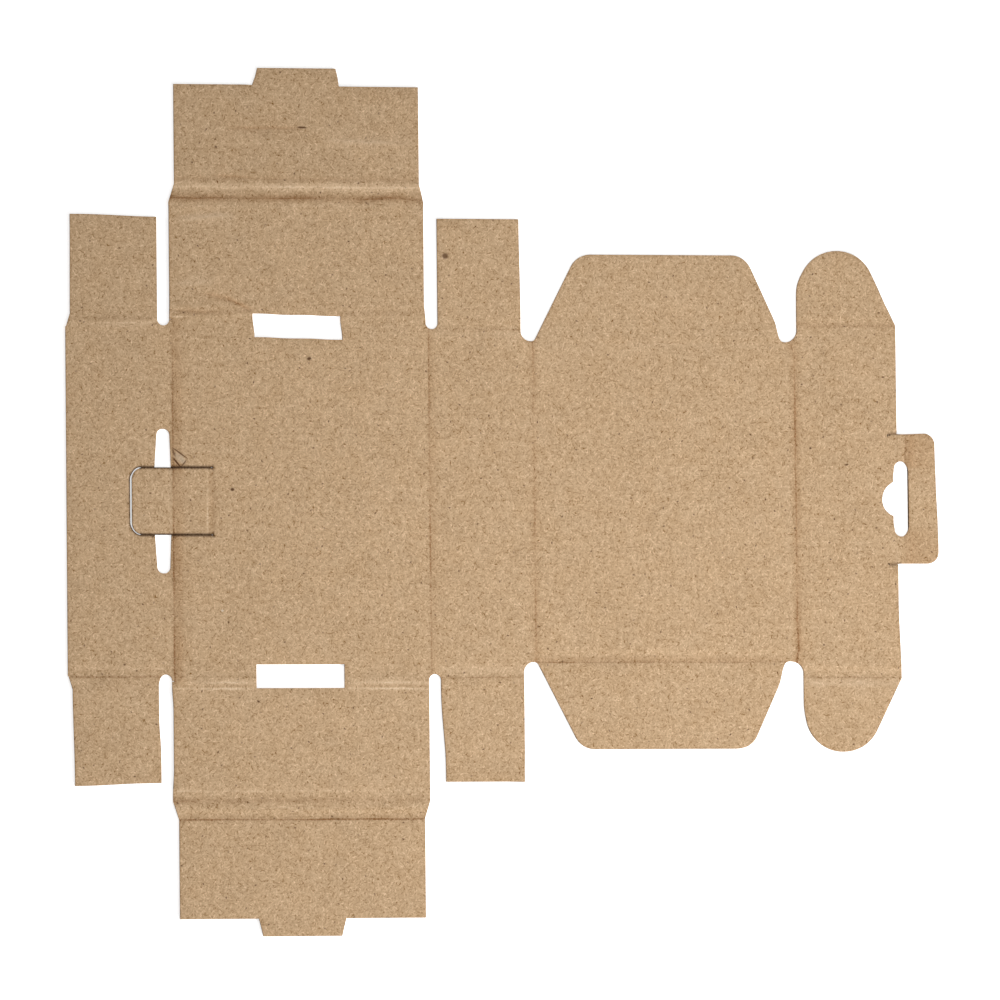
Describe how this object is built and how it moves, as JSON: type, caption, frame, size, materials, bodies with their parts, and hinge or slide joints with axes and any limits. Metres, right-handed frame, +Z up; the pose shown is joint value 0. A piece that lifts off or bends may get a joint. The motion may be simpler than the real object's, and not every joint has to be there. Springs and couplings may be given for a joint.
{
  "type": "corrugated packaging box",
  "caption": "Flat die-cut corrugated mailer box with roll-over side walls, corner flaps, tuck-in lid, tongue, lock tab and hang slot.",
  "frame": {"origin": "centre of the base panel on its underside, the plane that the open blank rests on", "axes": "+X from the front wall over the base and back wall to the lid, +Y to the left side wall, +Z up out of the inside face"},
  "size_m": [0.3739, 0.3658, 0.0016],
  "materials": {
    "inside_liner": "plain brown kraft liner, matt and slightly mottled",
    "outside_liner": "plain brown kraft liner, matt, calendered slightly",
    "fluting": "recycled brown fluting medium, matt",
    "kraft_board": "kraft faced corrugated board, matt"
  },
  "bodies": {
    "base": {"base_outside_liner": "outside_liner", "base_fluting": "fluting", "base_inside_liner": "inside_liner"},
    "front_wall": {"front_wall_outside_liner": "outside_liner", "front_wall_fluting": "fluting", "front_wall_inside_liner": "inside_liner"},
    "back_wall": {"back_wall_outside_liner": "outside_liner", "back_wall_fluting": "fluting", "back_wall_inside_liner": "inside_liner"},
    "lid": {"lid_outside_liner": "outside_liner", "lid_fluting": "fluting", "lid_inside_liner": "inside_liner"},
    "tuck_panel": {"tuck_panel_outside_liner": "outside_liner", "tuck_panel_fluting": "fluting", "tuck_panel_inside_liner": "inside_liner"},
    "front_left_flap": {"front_left_flap_outside_liner": "outside_liner", "front_left_flap_fluting": "fluting", "front_left_flap_inside_liner": "inside_liner"},
    "front_right_flap": {"front_right_flap_outside_liner": "outside_liner", "front_right_flap_fluting": "fluting", "front_right_flap_inside_liner": "inside_liner"},
    "back_left_flap": {"back_left_flap_outside_liner": "outside_liner", "back_left_flap_fluting": "fluting", "back_left_flap_inside_liner": "inside_liner"},
    "back_right_flap": {"back_right_flap_outside_liner": "outside_liner", "back_right_flap_fluting": "fluting", "back_right_flap_inside_liner": "inside_liner"},
    "left_outer_wall": {"left_outer_wall_outside_liner": "outside_liner", "left_outer_wall_fluting": "fluting", "left_outer_wall_inside_liner": "inside_liner"},
    "right_outer_wall": {"right_outer_wall_outside_liner": "outside_liner", "right_outer_wall_fluting": "fluting", "right_outer_wall_inside_liner": "inside_liner"},
    "left_inner_wall": {"left_inner_wall_outside_liner": "outside_liner", "left_inner_wall_fluting": "fluting", "left_inner_wall_inside_liner": "inside_liner"},
    "right_inner_wall": {"right_inner_wall_outside_liner": "outside_liner", "right_inner_wall_fluting": "fluting", "right_inner_wall_inside_liner": "inside_liner"},
    "lid_left_flap": {"lid_left_flap_outside_liner": "outside_liner", "lid_left_flap_fluting": "fluting", "lid_left_flap_inside_liner": "inside_liner"},
    "lid_right_flap": {"lid_right_flap_outside_liner": "outside_liner", "lid_right_flap_fluting": "fluting", "lid_right_flap_inside_liner": "inside_liner"},
    "tuck_left_ear": {"tuck_left_ear_outside_liner": "outside_liner", "tuck_left_ear_fluting": "fluting", "tuck_left_ear_inside_liner": "inside_liner"},
    "tuck_right_ear": {"tuck_right_ear_outside_liner": "outside_liner", "tuck_right_ear_fluting": "fluting", "tuck_right_ear_inside_liner": "inside_liner"},
    "left_rim": {"left_rim_board": "kraft_board"},
    "right_rim": {"right_rim_board": "kraft_board"},
    "tongue_bridge": {"tongue_bridge_board": "kraft_board"},
    "tongue": {"tongue_board": "kraft_board"},
    "lock_tab": {"lock_tab_board": "kraft_board"},
    "lock_tip": {"lock_tip_board": "kraft_board"}
  },
  "joints": [
    {"name": "front_wall_fold", "type": "hinge", "parent": "base", "child": "front_wall", "pos_m": [-0.0548, 0, 0.00025], "axis": [0, 1, 0], "range_deg": [0, 90]},
    {"name": "back_wall_fold", "type": "hinge", "parent": "base", "child": "back_wall", "pos_m": [0.0548, 0, 0.00025], "axis": [0, -1, 0], "range_deg": [0, 90]},
    {"name": "lid_fold", "type": "hinge", "parent": "back_wall", "child": "lid", "pos_m": [0.0997, 0, 0.00025], "axis": [0, -1, 0], "range_deg": [0, 89]},
    {"name": "tuck_panel_fold", "type": "hinge", "parent": "lid", "child": "tuck_panel", "pos_m": [0.2127, 0, 0.00025], "axis": [0, -1, 0], "range_deg": [0, 91]},
    {"name": "tongue_bridge_fold", "type": "hinge", "parent": "tuck_panel", "child": "tongue_bridge", "pos_m": [0.2553, 0, 0.00025], "axis": [0, -1, 0], "range_deg": [0, 90]},
    {"name": "tongue_fold", "type": "hinge", "parent": "tongue_bridge", "child": "tongue", "pos_m": [0.26165, 0, 0.00025], "axis": [0, -1, 0], "range_deg": [0, 90]},
    {"name": "lock_tab_fold", "type": "hinge", "parent": "base", "child": "lock_tab", "pos_m": [-0.0394, 0, 0.00135], "axis": [0, 1, 0], "range_deg": [-45, 0]},
    {"name": "lock_tip_fold", "type": "hinge", "parent": "lock_tab", "child": "lock_tip", "pos_m": [-0.0548, 0, 0.00025], "axis": [0, 1, 0], "range_deg": [0, 90]},
    {"name": "front_left_flap_fold", "type": "hinge", "parent": "front_wall", "child": "front_left_flap", "pos_m": [0, 0.0735, 0.00025], "axis": [1, 0, 0], "range_deg": [0, 90]},
    {"name": "back_left_flap_fold", "type": "hinge", "parent": "back_wall", "child": "back_left_flap", "pos_m": [0, 0.0735, 0.00025], "axis": [1, 0, 0], "range_deg": [0, 90]},
    {"name": "left_outer_wall_fold", "type": "hinge", "parent": "base", "child": "left_outer_wall", "pos_m": [0, 0.0772, 0.00025], "axis": [1, 0, 0], "range_deg": [0, 90]},
    {"name": "left_rim_fold", "type": "hinge", "parent": "left_outer_wall", "child": "left_rim", "pos_m": [0, 0.1262, 0.00025], "axis": [1, 0, 0], "range_deg": [0, 90]},
    {"name": "left_inner_wall_fold", "type": "hinge", "parent": "left_rim", "child": "left_inner_wall", "pos_m": [0, 0.1339, 0.00025], "axis": [1, 0, 0], "range_deg": [0, 90]},
    {"name": "lid_left_flap_fold", "type": "hinge", "parent": "lid", "child": "lid_left_flap", "pos_m": [0, 0.06825, 0.00025], "axis": [1, 0, 0], "range_deg": [0, 90]},
    {"name": "tuck_left_ear_fold", "type": "hinge", "parent": "tuck_panel", "child": "tuck_left_ear", "pos_m": [0, 0.07535, 0.00025], "axis": [1, 0, 0], "range_deg": [0, 90]},
    {"name": "front_right_flap_fold", "type": "hinge", "parent": "front_wall", "child": "front_right_flap", "pos_m": [0, -0.0735, 0.00025], "axis": [-1, 0, 0], "range_deg": [0, 90]},
    {"name": "back_right_flap_fold", "type": "hinge", "parent": "back_wall", "child": "back_right_flap", "pos_m": [0, -0.0735, 0.00025], "axis": [-1, 0, 0], "range_deg": [0, 90]},
    {"name": "right_outer_wall_fold", "type": "hinge", "parent": "base", "child": "right_outer_wall", "pos_m": [0, -0.0772, 0.00025], "axis": [-1, 0, 0], "range_deg": [0, 90]},
    {"name": "right_rim_fold", "type": "hinge", "parent": "right_outer_wall", "child": "right_rim", "pos_m": [0, -0.1262, 0.00025], "axis": [-1, 0, 0], "range_deg": [0, 90]},
    {"name": "right_inner_wall_fold", "type": "hinge", "parent": "right_rim", "child": "right_inner_wall", "pos_m": [0, -0.1339, 0.00025], "axis": [-1, 0, 0], "range_deg": [0, 90]},
    {"name": "lid_right_flap_fold", "type": "hinge", "parent": "lid", "child": "lid_right_flap", "pos_m": [0, -0.06825, 0.00025], "axis": [-1, 0, 0], "range_deg": [0, 90]},
    {"name": "tuck_right_ear_fold", "type": "hinge", "parent": "tuck_panel", "child": "tuck_right_ear", "pos_m": [0, -0.07535, 0.00025], "axis": [-1, 0, 0], "range_deg": [0, 90]}
  ]
}
